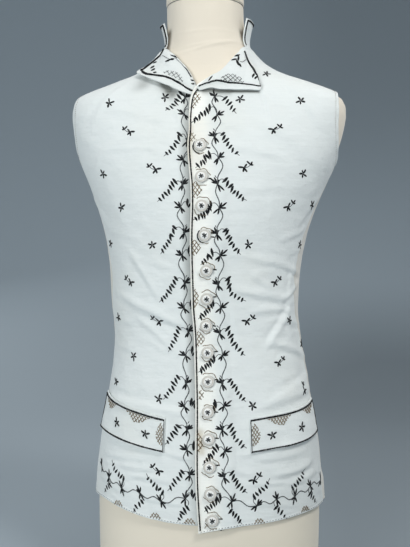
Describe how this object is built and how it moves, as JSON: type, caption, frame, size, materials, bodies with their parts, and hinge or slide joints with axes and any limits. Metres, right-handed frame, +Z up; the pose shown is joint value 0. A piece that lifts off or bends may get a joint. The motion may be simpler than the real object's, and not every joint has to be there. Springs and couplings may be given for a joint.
{
  "type": "embroidered waistcoat on dress form",
  "caption": "Sleeveless buttoned waistcoat with stand collar, turned-back lapels and pocket flaps, worn by a limbless dress form with a flat base.",
  "frame": {"origin": "centre of the dress form's flat base", "axes": "+Z up, the front of the waistcoat faces -Y, the wearer's left is +X"},
  "size_m": [0.406, 0.2526, 0.94],
  "materials": {
    "jersey": "matt knitted jersey",
    "cotton": "matt plain weave, white",
    "back_linen": "matt plain weave, cream",
    "button_cloth": "cloth drawn over a domed mould"
  },
  "bodies": {
    "root": {"dress_form": "jersey", "front_left": "cotton", "front_right": "cotton", "back": "back_linen", "collar": "cotton", "lapel_left": "cotton", "lapel_right": "cotton", "flap_left": "cotton", "flap_right": "cotton", "button_01": "button_cloth", "button_02": "button_cloth", "button_03": "button_cloth", "button_04": "button_cloth", "button_05": "button_cloth", "button_06": "button_cloth", "button_07": "button_cloth", "button_08": "button_cloth", "button_09": "button_cloth", "button_10": "button_cloth", "button_11": "button_cloth", "button_12": "button_cloth", "button_13": "button_cloth", "button_14": "button_cloth"}
  },
  "joints": []
}
